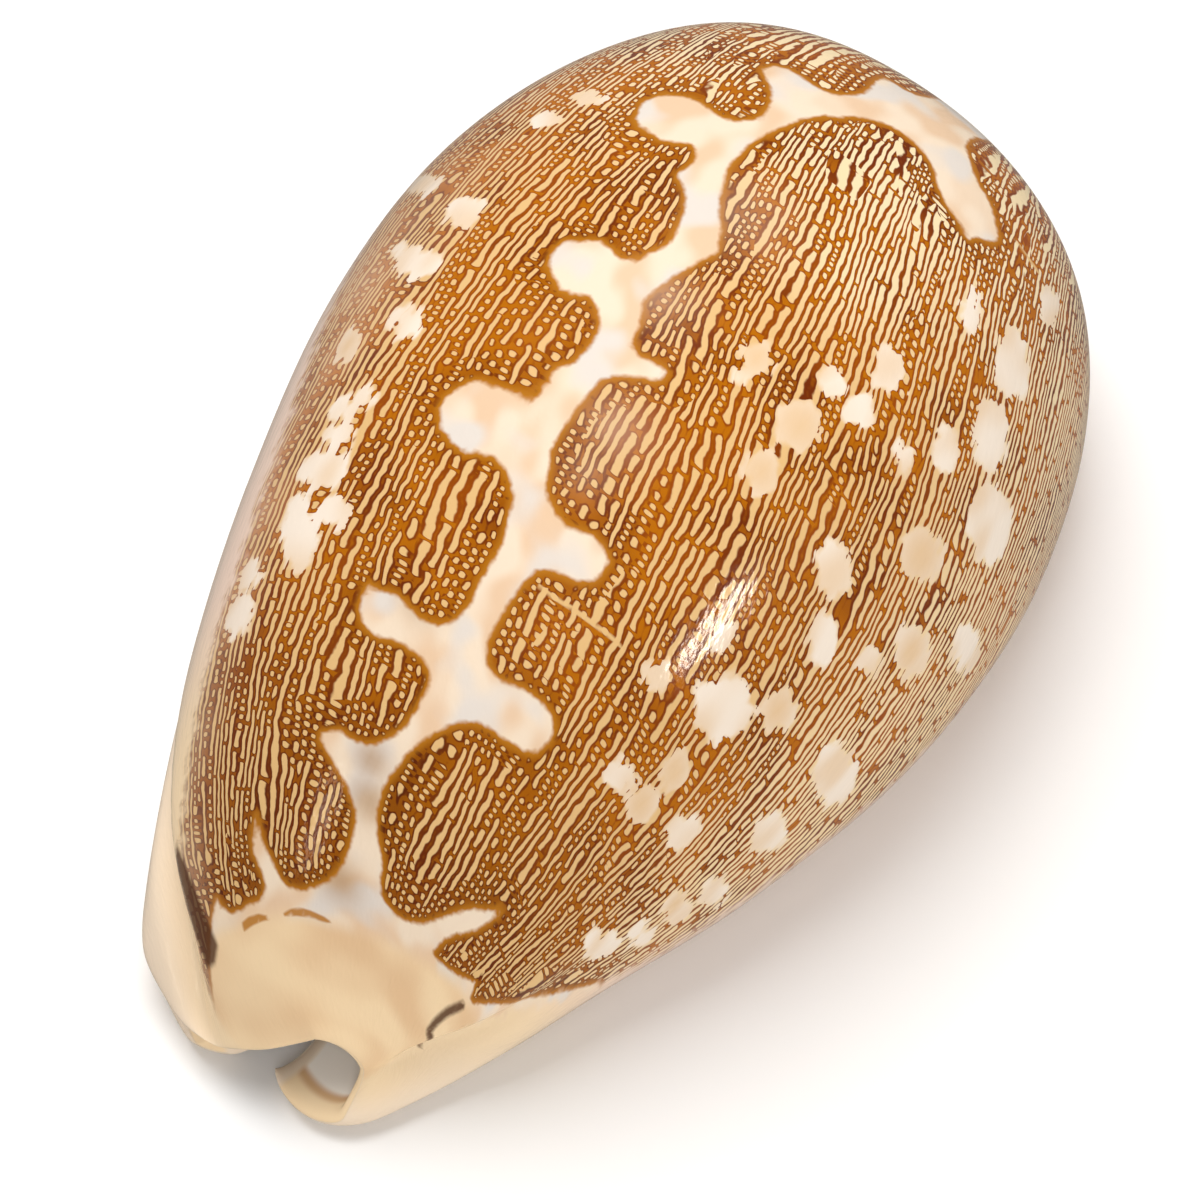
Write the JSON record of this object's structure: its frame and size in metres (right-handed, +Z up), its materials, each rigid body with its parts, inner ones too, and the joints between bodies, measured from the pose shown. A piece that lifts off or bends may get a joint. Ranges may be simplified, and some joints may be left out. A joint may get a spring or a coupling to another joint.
{
  "type": "map cowrie shell",
  "caption": "Hollow egg-shaped cowrie shell with a glossy rounded back, a flattened base split lengthwise by a toothed slit, and an open notched canal at each end.",
  "frame": {"origin": "on the flat ground under the middle of the shell's box, where its base rests", "axes": "+Y along the shell from its narrow front end with the open canal to its broad back end, +X from the outer lip's side to the columella lip's side, +Z up from the base through the rounded back"},
  "size_m": [0.047, 0.077, 0.0391],
  "materials": {
    "shell_enamel": "glossy natural shell enamel, brown lines on cream"
  },
  "bodies": {
    "root": {"cowrie_shell": "shell_enamel"}
  },
  "joints": []
}
